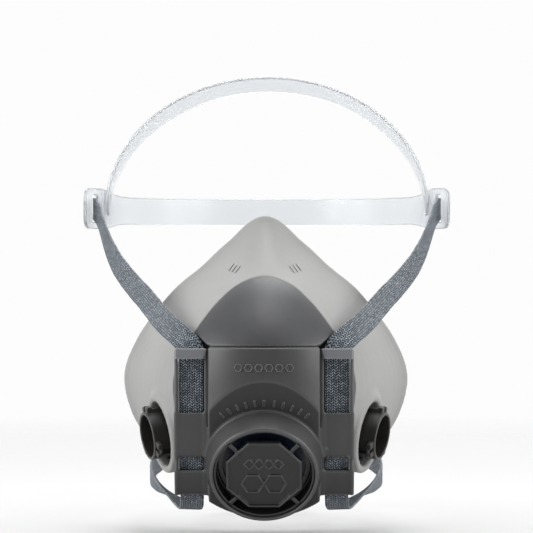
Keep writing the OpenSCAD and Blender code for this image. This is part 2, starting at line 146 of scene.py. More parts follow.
# ---------------------------------------------------------------- material helper
class Nodes:
    """A material with a Principled shader and short calls that add nodes to it."""

    def __init__(self, name):
        self.material = bpy.data.materials.new(name)
        self.material.use_nodes = True
        self.tree = self.material.node_tree
        self.shader = self.tree.nodes["Principled BSDF"]

    def add(self, kind, **settings):
        node = self.tree.nodes.new(kind)
        for key, value in settings.items():
            setattr(node, key, value)
        return node

    def set(self, **values):
        for key, value in values.items():
            socket = self.shader.inputs[key]
            wants_alpha = isinstance(value, tuple) and len(socket.default_value) == 4
            socket.default_value = (*value, 1) if wants_alpha else value

    def link(self, output, name):
        self.tree.links.new(output, self.shader.inputs[name])

    def feed(self, node, key, value):
        if isinstance(value, bpy.types.NodeSocket):
            self.tree.links.new(value, node.inputs[key])
        elif value is not None:
            node.inputs[key].default_value = value

    def math(self, operation, a, b=None):
        node = self.add("ShaderNodeMath", operation=operation)
        self.feed(node, 0, a)
        self.feed(node, 1, b)
        return node.outputs[0]

    def length(self, vector):
        node = self.add("ShaderNodeVectorMath", operation="LENGTH")
        self.feed(node, 0, vector)
        return node.outputs["Value"]

    def place(self, scale=(1, 1, 1)):
        """Object coordinates in millimetres, which are the model's own, stretched by scale."""
        node = self.add("ShaderNodeVectorMath", operation="MULTIPLY")
        self.feed(node, 0, self.add("ShaderNodeTexCoord").outputs["Object"])
        node.inputs[1].default_value = [1000 * s for s in scale]
        return node.outputs[0]

    def noise(self, scale, detail=3, rough=0.5, vector=None):
        node = self.add("ShaderNodeTexNoise")
        self.feed(node, "Vector", vector or self.place())
        node.inputs["Scale"].default_value = scale
        node.inputs["Detail"].default_value = detail
        node.inputs["Roughness"].default_value = rough
        return node.outputs["Fac"]

    def ramp(self, value, stops):
        node = self.add("ShaderNodeValToRGB")
        self.feed(node, 0, value)
        marks = node.color_ramp.elements
        while len(marks) < len(stops):
            marks.new(0.5)
        for mark, (at, colour) in zip(marks, stops):
            mark.position = at
            mark.color = (*colour, 1)
        return node.outputs[0]

    def mix(self, factor, a, b):
        node = self.add("ShaderNodeMix", data_type="RGBA")
        self.feed(node, 0, factor)
        for i, value in ((6, a), (7, b)):
            self.feed(node, i, (*value, 1) if isinstance(value, tuple) else value)
        return node.outputs[2]

    def remap(self, value, low, high):
        node = self.add("ShaderNodeMapRange")
        self.feed(node, "Value", value)
        node.inputs["To Min"].default_value = low
        node.inputs["To Max"].default_value = high
        return node.outputs[0]

    def bump(self, height, distance_mm, strength=1.0, normal=None):
        node = self.add("ShaderNodeBump")
        self.feed(node, "Height", height)
        self.feed(node, "Normal", normal)
        node.inputs["Distance"].default_value = distance_mm * MM
        node.inputs["Strength"].default_value = strength
        return node.outputs[0]

    def edge(self):
        """Near 1 on convex edges and 0 elsewhere, from the mesh's pointiness: it lightens edges as part wear,
        part painted highlight.
        """
        point = self.add("ShaderNodeNewGeometry").outputs["Pointiness"]
        return self.ramp(point, [(0.508, (0, 0, 0)), (0.56, (1, 1, 1))])


# ---------------------------------------------------------------- solids as signed distances, in millimetres
def smooth_min(a, b, k):
    """The union of two solids, with a fillet about k wide."""
    h = np.clip(0.5 + 0.5 * (b - a) / k, 0, 1)
    return b + (a - b) * h - k * h * (1 - h)


def smooth_max(a, b, k):
    """What two solids share, with its new edges rounded by about k."""
    return -smooth_min(-a, -b, k)


def slab(x, low, high):
    return np.maximum(low - x, x - high)


def ring(rho, h, inner, outer, low, high, k=0.5):
    """A ring about the h axis with rounded edges; inner 0 makes it a disc."""
    solid = smooth_max(rho - outer, slab(h, low, high), k)
    return smooth_max(solid, inner - rho, k) if inner else solid


def capsule(r, y, a, b):
    """Distance to the stretch from a to b, each (r, y, half thickness)."""
    dr, dy = b[0] - a[0], b[1] - a[1]
    t = np.clip(((r - a[0]) * dr + (y - a[1]) * dy) / (dr * dr + dy * dy + 1e-9), 0, 1)
    return np.hypot(r - a[0] - t * dr, y - a[1] - t * dy) - (a[2] + t * (b[2] - a[2]))


def pill(x, y, half_w, half_h):
    """Distance to an upright bar with round ends."""
    return np.hypot(x, np.maximum(np.abs(y) - half_h + half_w, 0)) - half_w


class Grid:
    """Sample points of a box in millimetres, as three arrays that broadcast."""

    def __init__(self, low, high, step):
        self.low, self.step = np.array(low, float), step
        counts = np.ceil((np.array(high) - self.low) / step).astype(int) + 1
        axes = [low[i] + step * np.arange(counts[i]) for i in range(3)]
        self.x = axes[0].reshape(-1, 1, 1)
        self.y = axes[1].reshape(1, -1, 1)
        self.z = axes[2].reshape(1, 1, -1)
        self.shape = tuple(counts)

    def along(self, origin, direction):
        """How far each point lies from origin along direction."""
        d, o = direction, origin
        return (self.x - o[0]) * d[0] + (self.y - o[1]) * d[1] + (self.z - o[2]) * d[2]

    def mesh(self, field):
        """The surface of the solid where field is negative: points in millimetres, and quads."""
        band = 3 * self.step
        values = np.clip(np.broadcast_to(field, self.shape), -band, band).astype(np.float32)
        grid = openvdb.FloatGrid(band)
        grid.copyFromArray(np.ascontiguousarray(values))
        points, quads = grid.convertToQuads(0.0)
        return points * self.step + self.low, quads


def build(name, points, faces, material):
    """A smooth-shaded mesh object from points in millimetres."""
    mesh = bpy.data.meshes.new(name)
    if isinstance(faces, np.ndarray):
        faces = [tuple(f) for f in faces.tolist()]
    mesh.from_pydata((np.asarray(points, float) * MM).tolist(), [], faces)
    mesh.validate()
    mesh.polygons.foreach_set("use_smooth", [True] * len(mesh.polygons))
    mesh.materials.append(material)
    obj = bpy.data.objects.new(name, mesh)
    scene.collection.objects.link(obj)
    return obj


def mirrored(points, faces):
    """The same surface on the other side of the X = 0 plane."""
    flipped = np.array(points, float)
    flipped[:, 0] *= -1
    return flipped, [tuple(reversed(f)) for f in faces]


def stand(obj, body, slot, *nodes):
    """obj rides on a body and stands for CAD nodes, which it hides; slot is not used."""
    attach(obj, body)
    if nodes:
        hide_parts(*nodes)


def stand_pair(name, points, faces, material, body, slot, node=None):
    """A right piece and its mirrored left one, standing for the right and left CAD nodes."""
    for side, word in SIDES:
        p, f = (points, faces) if side > 0 else mirrored(points, faces)
        nodes = [f"{word}_{node}"] if node else []
        stand(build(f"{word}_{name}", p, f, material), body, slot, *nodes)


# ---------------------------------------------------------------- dimensions of the CAD model, in millimetres
SIDES = ((1, "right"), (-1, "left"))
# Outlines about the Y axis, every 15 degrees from the chin over the side to the nose.
RIM_R = [60, 60, 60, 61.5, 62.5, 64.9, 65.7, 61.9, 58.5, 57.5, 57.9, 63.6, 72.5]
RIM_Y = [16, 17, 20, 25, 28.5, 30, 29.5, 25, 19.5, 15.5, 11.5, 6.5, 0]
FRONT_R = [58, 57, 54, 48.5, 43.5, 41.2, 40.3, 38.8, 37.6, 38.2, 40.5, 44, 46]
FRONT_Y = [-24, -25, -28, -32, -36, -38.5, -40, -42, -44, -42, -37, -32, -30]
SEAL_WALL = 2.2
SHELL_WALL = 2.2
DOME_FRONT_Y = -67
VALVE_TILT = math.radians(28)
VALVE_POS = np.array([0, -46.8, -35.6])
VALVE_AXIS = np.array([0, -math.cos(VALVE_TILT), -math.sin(VALVE_TILT)])
VALVE_UP = np.array([0, -math.sin(VALVE_TILT), math.cos(VALVE_TILT)])
SHELL_FACE_H = -2.8
SHELL_BORE_R, YOKE_BORE_R, COVER_BORE_R = 20.2, 20.4, 22.1
COLLAR_H, COLLAR_RIM_R, COLLAR_BASE_R = 11, 23.6, 26
PORT_POS = np.array([47.2, -18, -25])
PORT_TURN = (math.radians(99.2), math.radians(-19.5))
BOSS_R, BOSS_BACK, RECESS_R, RECESS_H = 18, -8.2, 14.4, -6.6
PORT_BORE_R, PORT_R, PORT_FLANGE_R = 9.5, 10.75, 14.1
PANEL_R, PANEL_AXIS_Y, PANEL_HALF_W, PANEL_WALL = 44, -22, 24.4, 2.2
PANEL_LEAN = 0.0045         # how fast the panel curves back towards its top
YOKE_TOP, YOKE_GAP, YOKE_BACK_Y = 15.2, 0.7, -38
SEAM_Z, CHANNEL_R = 15.55, 144.8
RAIL_R, RAIL_AXIS_Y, RAIL_AXIS_Z = 150, 96, 5
RAIL_INNER, RAIL_BOTTOM, RAIL_TOP, RAIL_DEPTH = 25, -50, 14.2, 4.5
SKIRT_ARC = (-17.1, 43.4)
YOKE_HALF_W = 39
WINDOW_TOP, WINDOW_LOW = -13.6, (-33.2, -39)
WINDOW_FRAME_T = 1.8
BAR_Z, BAR_FRONT_Y, BAR_BACK_Y = (9.9, 14.5), -57.2, -54
STRAP_X, STRAP_PATH_R, STRAP_W, STRAP_T = 31.75, 147, 10.4, 1.2
RIB = 1.04                  # width of one knitted column of the webbing
STITCH = 1.15               # length of one stitch along the webbing
CRADLE_Y, CRADLE_Z, CRADLE_R, CRADLE_T, CRADLE_RISE = 102, 78.2, 81.6, 1.6, math.radians(55)
CRADLE_LOW_H, CRADLE_HIGH_H = 14, 12
PLATE_H, PLATE_L, PLATE_TURN, PLATE_IN = 20, 18, math.radians(24.5), (80.6, 91)
SLOT_L, SLOT_H, SLOT_W = 8.5, 13, 5
CLASP_POS = np.array([0, 119.5, -38])
COVER_FLATS = 33


def port_axes():
    """The port's own x, y and z (outward) directions, as in the CAD model."""
    a, b = PORT_TURN
    x = (math.cos(a) * math.cos(b), math.cos(a) * math.sin(b), -math.sin(a))
    y = (-math.sin(b), math.cos(b), 0)
    z = (math.sin(a) * math.cos(b), math.sin(a) * math.sin(b), math.cos(a))
    return np.array([x, y, z])


def from_port(points):
    """Points in the port's frame, moved to the model's frame."""
    return np.asarray(points) @ port_axes() + PORT_POS


def from_valve(points):
    """Points in the valve's frame (x, up, along its axis), moved to the model's frame."""
    return np.asarray(points) @ np.array([[1, 0, 0], VALVE_UP, VALVE_AXIS]) + VALVE_POS


def outline(values, angle):
    """A smooth closed outline at an angle in degrees above the side, from values every 15 degrees."""
    padded = np.array([values[1], *values, values[-2]], float)
    u = (angle + 90) / 15
    i = np.clip(np.floor(u).astype(int), 0, len(values) - 2)
    t = u - i
    p = [padded[i + k] for k in range(4)]
    return 0.5 * (2 * p[1] + (p[2] - p[0]) * t + (2 * p[0] - 5 * p[1] + 4 * p[2] - p[3]) * t ** 2
                  + (3 * p[1] - p[0] - 3 * p[2] + p[3]) * t ** 3)


def bezier(p, t):
    s = 1 - t
    return s ** 3 * p[0] + 3 * s * s * t * p[1] + 3 * s * t * t * p[2] + t ** 3 * p[3]


# ---------------------------------------------------------------- face seal and rigid shell
def seal_curve(angle):
    """The outer wall's four control points (r, y) at an angle, from the shell's edge to the rim."""
    r0, y0 = outline(FRONT_R, angle), outline(FRONT_Y, angle) + 0.4
    r1, y1 = outline(RIM_R, angle), outline(RIM_Y, angle)
    e, d = r1 - r0, y1 - y0
    u = np.clip(((angle + 90) / 15 - 8) / 4, 0, 1)
    nose = u * u * (3 - 2 * u)
    return [(r0, y0), (r0 + (0.45 - 0.13 * nose) * e, y0 + (0.33 + 0.03 * nose) * d),
            (r1 - 0.30 * e, y1 - 0.10 * d), (r1, y1)]


def seal_spine(angle):
    """The wall's middle line at an angle, then round the rim and in along the sealing lip.

    Gives (r, y, half thickness) stations.
    """
    curve, steps, half = seal_curve(angle), 10, SEAL_WALL / 2
    line = []
    for i in range(steps + 1):
        t = i / steps
        ta, tb = max(t - 0.02, 0), min(t + 0.02, 1)
        r, y = (bezier([p[k] for p in curve], t) for k in (0, 1))
        dr, dy = (bezier([p[k] for p in curve], tb) - bezier([p[k] for p in curve], ta) for k in (0, 1))
        length = np.hypot(dr, dy)
        line.append((r - half * dy / length, y + half * dr / length, half))
    rim_r, rim_y = curve[3]
    lip = ((-1.7, 2.6, 1.35), (-3.6, 4.2, 1.15), (-7, 4.8, 0.85), (-10, 4.4, 0.7), (-12.7, 3.5, 0.55))
    return line + [(rim_r + dr, rim_y + dy, thick) for dr, dy, thick in lip]


def outline_slope(angle):
    """How much nearer the wall is than its radius says, where the outline runs aslant."""
    step = 1.0
    r = outline(RIM_R, angle)
    change = outline(RIM_R, np.minimum(angle + step, 90)) - outline(RIM_R, np.maximum(angle - step, -90))
    return 1 / np.sqrt(1 + (change / math.radians(2 * step) / r) ** 2)


def seal_wall(grid):
    """Signed distance to the seal's wall and lip, without its port bosses."""
    side = np.abs(grid.x)
    angle = np.degrees(np.arctan2(grid.z, side))
    radius = np.hypot(side, grid.z)
    spine = seal_spine(angle)
    field = None
    for a, b in zip(spine, spine[1:]):
        part = capsule(radius, grid.y, a, b)
        field = part if field is None else np.minimum(field, part)
    return field * outline_slope(angle)


def make_seal(material):
    """The elastomer body, with bosses round the ports and the recess that a filter sits in."""
    grid = Grid((-68, -48, -66), (68, 38, 76), 0.95)
    side = np.abs(grid.x)
    field = seal_wall(grid)
    axes = port_axes()
    near = [side - PORT_POS[0], grid.y - PORT_POS[1], grid.z - PORT_POS[2]]
    u, v, h = (sum(near[k] * axes[i][k] for k in range(3)) for i in range(3))
    rho = np.hypot(u, v)
    field = smooth_min(field, ring(rho, h, 0, BOSS_R, BOSS_BACK, 0, 1.6), 4)
    field = smooth_max(field, -ring(rho, h, 0, RECESS_R, RECESS_H, 14, 0.8), 1.0)
    field = smooth_max(field, -np.maximum(rho - 11, slab(h, -20, 5)), 0.5)
    field = smooth_max(field, -ring(rho, h, 0, BOSS_R - 1, -16, BOSS_BACK, 1.0), 1.0)
    points, quads = grid.mesh(field)
    stand(build("face_seal_skin", points, quads, material), "facepiece", "seal", "face_seal")


def dome_curve(angle, inset):
    """The dome's four control points (r, y) at an angle, from its edge to its centre."""
    r, y = outline(FRONT_R, angle) - inset, outline(FRONT_Y, angle)
    front = DOME_FRONT_Y + inset
    return [(r, y), (r * 0.93, y + 0.34 * (front - y)), (r * 0.56, front), (0, front)]


def dome(grid, angle, radius, inset):
    """Signed distance to the dome's skin: outside it is positive."""
    curve, steps = dome_curve(angle, inset), 32
    line = [[bezier([p[k] for p in curve], i / steps) for k in (0, 1)] for i in range(steps + 1)]
    distance, inside = None, None
    for a, b in zip(line, line[1:]):
        part = capsule(radius, grid.y, (*a, 0), (*b, 0))
        distance = part if distance is None else np.minimum(distance, part)
        t = (grid.y - a[1]) / np.where(np.abs(b[1] - a[1]) < 1e-6, 1e-6, b[1] - a[1])
        crossing = (t >= 0) & (t < 1) & (a[0] + t * (b[0] - a[0]) > radius)
        inside = crossing if inside is None else inside | crossing
    return np.where(inside, -distance, distance)


def yoke_room(grid, side, d):
    """What the yoke and the webbing take out of the shell, grown by d: negative inside."""
    half = PANEL_HALF_W - 0.9 - d
    panel = smooth_max(PANEL_R - SHELL_WALL - YOKE_GAP - d - np.hypot(grid.x, grid.y - PANEL_AXIS_Y),
                       np.maximum(side - half - 5, grid.z - SEAM_Z - d), 0.5)
    rail = np.hypot(grid.y - RAIL_AXIS_Y, grid.z - RAIL_AXIS_Z)
    slope = (grid.z - SEAM_Z - d - np.maximum(side - half - 0.8, 0) * 10 / 11) * 0.74
    channel = np.maximum(np.maximum(half - side, slope), grid.z - SEAM_Z - 10 - d)
    return smooth_min(panel, smooth_max(CHANNEL_R - d - rail, channel, 0.8), 0.8)


def make_shell(material):
    """The rigid dome, hollowed, with room for the yoke and a bore for the exhalation seat."""
    grid = Grid((-46, -70, -58), (46, -20, 50), 0.62)
    side = np.abs(grid.x)
    angle = np.degrees(np.arctan2(grid.z, side))
    radius = np.hypot(side, grid.z)
    h = grid.along(VALVE_POS, VALVE_AXIS)
    v = grid.along(VALVE_POS, VALVE_UP)
    rho = np.hypot(grid.x, v)
    # A soft ridge from the nose down, between slightly hollow flanks.
    spread = 6 + 0.3 * (44 - grid.z)
    ridge = 0.2 * np.exp(-(side / spread) ** 2) - 0.2 * np.exp(-((side / spread - 2.2) / 0.9) ** 2)
    outer = dome(grid, angle, radius, 0) - ridge * np.clip((-40 - grid.y) / 16, 0, 1)
    field = smooth_max(outer, h - SHELL_FACE_H, 1.6)
    field = smooth_max(field, -yoke_room(grid, side, 0), 0.5)
    hollow = np.maximum(outer + SHELL_WALL, h - (SHELL_FACE_H - SHELL_WALL))
    field = smooth_max(field, -np.maximum(hollow, -yoke_room(grid, side, SHELL_WALL)), 0.8)
    field = smooth_max(field, SHELL_BORE_R - rho, 0.5)
    field = smooth_max(field, grid.y - outline(FRONT_Y, angle), 0.6)
    points, quads = grid.mesh(field)
    stand(build("front_shell_skin", points, quads, material), "facepiece", "shell", "front_shell")


# ---------------------------------------------------------------- front yoke
def make_yoke(material):
    """The centre panel, the two strap rails with their windows, the valve collar and the skirt."""
    grid = Grid((-41, -76, -64), (41, -40, 18), 0.5)
    side = np.abs(grid.x)
    h = grid.along(VALVE_POS, VALVE_AXIS)
    v = grid.along(VALVE_POS, VALVE_UP)
    rho = np.hypot(grid.x, v)
    panel = np.hypot(grid.x, grid.y - PANEL_AXIS_Y)
    lean = PANEL_LEAN * np.maximum(grid.z + 2, 0) ** 2
    centre = smooth_max(panel - PANEL_R + lean, h, 0.4)
    limits = smooth_max(slab(grid.x, -PANEL_HALF_W, PANEL_HALF_W), slab(grid.z, -62, YOKE_TOP), 1.0)
    limits = smooth_max(limits, grid.y - YOKE_BACK_Y, 1.0)
    limits = smooth_max(limits, np.minimum(rho - 32, -30 - grid.z), 1.0)
    centre = smooth_max(centre, limits, 0.9)
    hollow = np.maximum(panel - (PANEL_R - PANEL_WALL), h + PANEL_WALL)
    centre = smooth_max(centre, -hollow, 0.6)
    rail = np.hypot(grid.y - RAIL_AXIS_Y, grid.z - RAIL_AXIS_Z)

    def rail_slab(x0, x1, z0, z1, depth):
        body = smooth_max(rail - RAIL_R, RAIL_R - depth - rail, 0.5)
        frame_ = smooth_max(slab(side, x0, x1), slab(grid.z, z0, z1), 0.7)
        return smooth_max(body, frame_, 0.6)

    rails = rail_slab(YOKE_HALF_W - 1.3, YOKE_HALF_W, RAIL_BOTTOM, RAIL_TOP, RAIL_DEPTH)
    inner_rail = rail_slab(RAIL_INNER - 1, RAIL_INNER + 1.1, RAIL_BOTTOM, RAIL_TOP, RAIL_DEPTH)
    rails = smooth_min(rails, inner_rail, 0.6)
    for z0, z1 in ((WINDOW_LOW[0], WINDOW_TOP), (RAIL_BOTTOM, WINDOW_LOW[1])):
        rails = smooth_min(rails, rail_slab(RAIL_INNER, YOKE_HALF_W, z0, z1, WINDOW_FRAME_T), 1.2)
    collar = smooth_max(rho - (COLLAR_BASE_R + (COLLAR_RIM_R - COLLAR_BASE_R) * h / COLLAR_H),
                        slab(h, -0.5, COLLAR_H), 1.1)
    skirt = np.maximum(panel - PANEL_R, slab(h, -PANEL_WALL, 5))
    skirt = np.maximum(skirt, np.hypot(grid.x, grid.z - SKIRT_ARC[0]) - SKIRT_ARC[1])
    skirt_limits = np.maximum(side - PANEL_HALF_W, grid.y - YOKE_BACK_Y)
    skirt = smooth_max(skirt, np.maximum(slab(grid.z, -66, -42), skirt_limits), 0.5)
    field = smooth_min(smooth_min(centre, rails, 1.0), skirt, 0.8)
    field = smooth_min(field, collar, 1.0)
    field = smooth_max(field, -np.maximum(rho - COVER_BORE_R, 2 - h), 0.7)
    field = smooth_max(field, YOKE_BORE_R - rho, 0.5)
    points, quads = grid.mesh(field)
    stand(build("yoke_skin", points, quads, material), "harness", "yoke", "yoke")


# ---------------------------------------------------------------- webbing, bars and cradle
def track(stations, step=1.0):
    """Even stations, about step apart, on the smooth curve through (place, face normal) stations.

    Gives points, across directions and outward normals as arrays.
    """
    places, faces = (np.array([s[k] for s in stations], float) for k in (0, 1))
    last = len(stations) - 1

    def smooth(values, u):
        i = np.minimum(np.floor(u).astype(int), last - 1)
        t = (u - i)[:, None]
        p = [values[np.clip(i + k, 0, last)] for k in (-1, 0, 1, 2)]
        return 0.5 * (2 * p[1] + (p[2] - p[0]) * t + (2 * p[0] - 5 * p[1] + 4 * p[2] - p[3]) * t ** 2
                      + (3 * p[1] - p[0] - 3 * p[2] + p[3]) * t ** 3)

    fine = np.linspace(0, last, 60 * last + 1)
    run = np.concatenate([[0], np.cumsum(np.linalg.norm(np.diff(smooth(places, fine), axis=0), axis=1))])
    count = max(int(round(run[-1] / step)), 2)
    u = np.interp(np.linspace(0, run[-1], count + 1), run, fine)
    points, normals = smooth(places, u), smooth(faces, u)
    tangent = np.gradient(points, axis=0)
    tangent /= np.linalg.norm(tangent, axis=1)[:, None]
    across = np.cross(tangent, normals)
    across /= np.linalg.norm(across, axis=1)[:, None]
    normals = np.cross(across, tangent)
    return points, across, normals, run[-1] / count


def webbing_section(width, thick):
    """Points (across, out) round one section: ribbed faces and rounded edges."""
    half, samples = width / 2, 61
    top = []
    for i in range(samples):
        x = half * (2 * i / (samples - 1) - 1)
        edge = min(1, (half - abs(x)) / 0.5)
        rib = 0.16 * abs(math.cos(math.pi * x / RIB)) - 0.16
        top.append((x, (thick / 2 + rib) * math.sqrt(max(0, 1 - (1 - edge) ** 2)) + 0.05))
    return top + [(x, -y) for x, y in reversed(top)]


def webbing(name, stations, nodes, material, side, blend):
    """A knitted strap of the harness, with its UV map in millimetres: across, along.

    blend is None, or a body and the points where a change at its end would start and end; only whether it is
    given is read: then the strap's placement is baked in, else it rides on the harness.
    """
    points, across, normals, step = track(stations)
    section = np.array(webbing_section(STRAP_W, STRAP_T))
    if side < 0:
        section = section[::-1]
        points, across, normals = (a * (-1, 1, 1) for a in (points, across, normals))
    n, m = len(points), len(section)
    wander = 0.05 * np.sin(np.arange(n) * 0.37) + 0.04 * np.sin(np.arange(n) * 0.91 + 1)
    ring_ = (points[:, None] + (section[None, :, 0] + wander[:, None])[:, :, None] * across[:, None]
             + section[None, :, 1, None] * normals[:, None])
    verts = ring_.reshape(-1, 3)
    faces, uvs = [], []
    width = section[:, 0]
    for i in range(n - 1):
        for j in range(m):
            k = (j + 1) % m
            faces.append((i * m + j, i * m + k, (i + 1) * m + k, (i + 1) * m + j))
            here, there = i * step, (i + 1) * step
            uvs += [(width[j], here), (width[k], here), (width[k], there), (width[j], there)]
    for i, order in ((0, -1), (n - 1, 1)):
        cap = tuple(i * m + j for j in range(m))[::order]
        faces.append(cap)
        uvs += [(width[v % m], i * step) for v in cap]
    strap = build(name, verts, faces, material)
    layer = strap.data.uv_layers.new(name="weave")
    layer.data.foreach_set("uv", np.array(uvs, np.float32).ravel())
    strap.data.uv_layers.active = layer
    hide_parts(*nodes)
    if blend:
        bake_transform(strap)
    else:
        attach(strap, "harness")


def rail_station(z):
    """Where the webbing runs in the rail at height z, with its face's direction."""
    y = RAIL_AXIS_Y - math.sqrt(STRAP_PATH_R ** 2 - (z - RAIL_AXIS_Z) ** 2)
    return (STRAP_X, y, z), (0, -1, (z - RAIL_AXIS_Z) / STRAP_PATH_R)


UPPER_ROUTE = [
    ((38, -44.6, 20.5), (0.45, -0.80, 0.35)), ((45.5, -29.5, 26.5), (0.65, -0.62, 0.40)),
    ((54, -4, 35), (0.75, -0.52, 0.38)), ((62, 17, 42.5), (0.83, -0.42, 0.30)),
    ((69.5, 36, 51), (0.90, -0.35, 0.20)), ((75, 54, 60), (0.95, -0.25, 0.10)),
    ((79.6, 71, 70.3), (0.97, -0.20, 0)), ((81.3, 76.4, 74.6), (0.95, -0.28, 0)),
    ((82.7, 79.9, 76.6), (0.95, -0.28, 0)), ((83.9, 83.2, 77.9), (0.93, -0.37, 0)),
    ((84.2, 87.5, CRADLE_Z), (0.98, 0.15, 0)), ((83.4, 96, CRADLE_Z), (0.99, 0.05, 0)),
    ((83.3, 106, CRADLE_Z), (1, 0.05, 0))]
LOWER_ROUTE = [
    ((31.75, -38.6, -52.5), (0, -0.85, -0.50)), ((32.5, -32, -56.5), (0, -0.25, -0.97)),
    ((34.5, -20, -57.5), (0.10, 0, -1)), ((39.5, -2, -55.5), (0.35, 0.10, -0.93)),
    ((46.5, 16, -52.5), (0.70, 0, -0.70)), ((52, 34, -50), (0.95, -0.15, -0.25)),
    ((54.5, 52, -48), (1, 0, 0)), ((53.5, 72, -45.5), (0.98, 0.20, 0)), ((47, 94, -42), (0.82, 0.57, 0)),
    ((36, 110, -39.5), (0.55, 0.83, 0)), ((30.5, 115.8, -38.4), (0.4, 0.9, 0)),
    ((28.2, 118.5, -38), (0.8, 0.6, 0)),
    ((27.7, 121, -38), (0.9, 0.4, 0)), ((25.7, 123.2, -38), (0, 1, 0)), ((23.7, 121, -38), (-0.9, 0.4, 0)),
    ((22.5, 118.3, -38), (-0.6, 0.8, 0)), ((16, 117.2, -38), (0, 1, 0)), ((8, 117, -38), (0, 1, 0))]


def make_straps(material):
    """The upper webbing ends on the cradle, and the right lower one on the clasp's hook."""
    upper = [rail_station(z) for z in (-22, -14, -6, 2, 9.5, 14.5)] + UPPER_ROUTE
    lower = [rail_station(z) for z in (-23, -30, -38, -46)] + LOWER_ROUTE
    for side, word in SIDES:
        webbing(f"{word}_upper_webbing", upper, (f"{word}_upper_strap", f"{word}_cradle_loop"),
                material, side, ("cradle", (79.6, 71, 70.3), (83.9, 83.2, 77.9)))
        crossing = ("hook", (47, 94, -42), (26, 117.4, -38)) if side > 0 else None
        webbing(f"{word}_lower_webbing", lower, (f"{word}_lower_strap",), material, side, crossing)


def make_bars(material):
    """The raised bars at the heads of the rails, bevelled, with their legs either side of the webbing."""
    grid = Grid((23, -60, 8), (40.5, -50, 17), 0.3)
    face = (BAR_FRONT_Y + 0.42 * (grid.z - BAR_Z[0]) - grid.y) * 0.92
    plate = smooth_max(face, grid.y - BAR_BACK_Y, 0.5)
    plate = smooth_max(plate, slab(grid.z, *BAR_Z), 0.6)
    plate = smooth_max(plate, slab(grid.x, RAIL_INNER, YOKE_HALF_W - 0.3), 0.6)
    inner_bevel = (-56.9 - grid.y + 0.75 * (RAIL_INNER + 1.6 - grid.x)) * 0.8
    plate = smooth_max(plate, inner_bevel, 0.4)
    legs = np.minimum(slab(grid.x, RAIL_INNER + 1.3, RAIL_INNER + 2.2),
                      slab(grid.x, YOKE_HALF_W - 2.4, YOKE_HALF_W - 1.5))
    legs = smooth_max(smooth_max(legs, slab(grid.y, -55, -52.2), 0.3), slab(grid.z, *BAR_Z), 0.3)
    points, quads = grid.mesh(smooth_min(plate, legs, 0.5))
    stand_pair("strap_bar_skin", points, quads, material, "harness", "strap_bar", "strap_bar")


def make_cradle(material):
    """The clear band behind the head with its flared temple plates, and the band over the crown."""
    turn = np.array([math.sin(PLATE_TURN), -math.cos(PLATE_TURN)])
    tip = np.array(PLATE_IN) + PLATE_L * turn
    mid_r = CRADLE_R - CRADLE_T / 2
    stations = [((*(np.array(PLATE_IN) + l * turn), 0), (0, 0, 1)) for l in (PLATE_L, PLATE_L / 2, 0)]
    stations += [((mid_r * math.cos(a), CRADLE_Y + mid_r * math.sin(a), 0), (0, 0, 1))
                 for a in np.radians([0, 15, 30, 45, 60, 75, 90, 105])]
    path = track(stations, 2.0)[0][:, :2]
    grid = Grid((-92, 71, CRADLE_Z - 11.5), (92, 186, CRADLE_Z + 11.5), 0.6)
    side = np.abs(grid.x)
    middle = np.full((grid.shape[0], grid.shape[1], 1), 1e3)
    for p, q in zip(path, path[1:]):
        d = q - p
        t = np.clip(((side - p[0]) * d[0] + (grid.y - p[1]) * d[1]) / (d @ d), 0, 1)
        middle = np.minimum(middle, np.hypot(side - p[0] - t * d[0], grid.y - p[1] - t * d[1]))
    ahead = -((side - tip[0]) * turn[0] + (grid.y - tip[1]) * turn[1])
    turned = np.degrees(np.arctan2(grid.y - CRADLE_Y, side))
    u = np.clip((90 - turned) / 30 - 2, 0, 1)
    half = (CRADLE_LOW_H + (PLATE_H - CRADLE_LOW_H) * u * u * (3 - 2 * u)) / 2
    height = np.abs(grid.z - CRADLE_Z)
    face = smooth_max(height - half, -ahead, 5.0)
    slot = smooth_max(np.abs(ahead - (PLATE_L - SLOT_L)) - SLOT_W / 2, height - SLOT_H / 2, 1.2)
    slot = np.maximum(slot, 40 - side)
    face = smooth_max(face, -slot, 0.4)
    points, quads = grid.mesh(smooth_max(middle - CRADLE_T / 2, face, 0.7))
    stand(build("head_cradle_skin", points, quads, material), "cradle", "cradle", "head_cradle")

    grid = Grid((-81.5, -0.6, -7), (81.5, 81, 7), 0.6)
    r = CRADLE_R - 1.5 * CRADLE_T - 0.4
    band = smooth_max(np.abs(np.hypot(grid.x, grid.y) - r) - CRADLE_T / 2,
                      np.abs(grid.z) - CRADLE_HIGH_H / 2, 0.7)
    points, quads = grid.mesh(smooth_max(band, -grid.y, 0.6))
    c, s = math.cos(CRADLE_RISE), math.sin(CRADLE_RISE)
    rise = np.array([[1, 0, 0], [0, c, s], [0, -s, c]])
    points = points @ rise + (0, CRADLE_Y, CRADLE_Z)
    stand(build("crown_band_skin", points, quads, material), "cradle", "cradle", "crown_band")


# ---------------------------------------------------------------- ports, valve cover and clasp
def turned_by(grid, degrees):
    """The grid's x and y, seen from axes turned about Z."""
    c, s = math.cos(math.radians(degrees)), math.sin(math.radians(degrees))
    return grid.x * c + grid.y * s, grid.y * c - grid.x * s


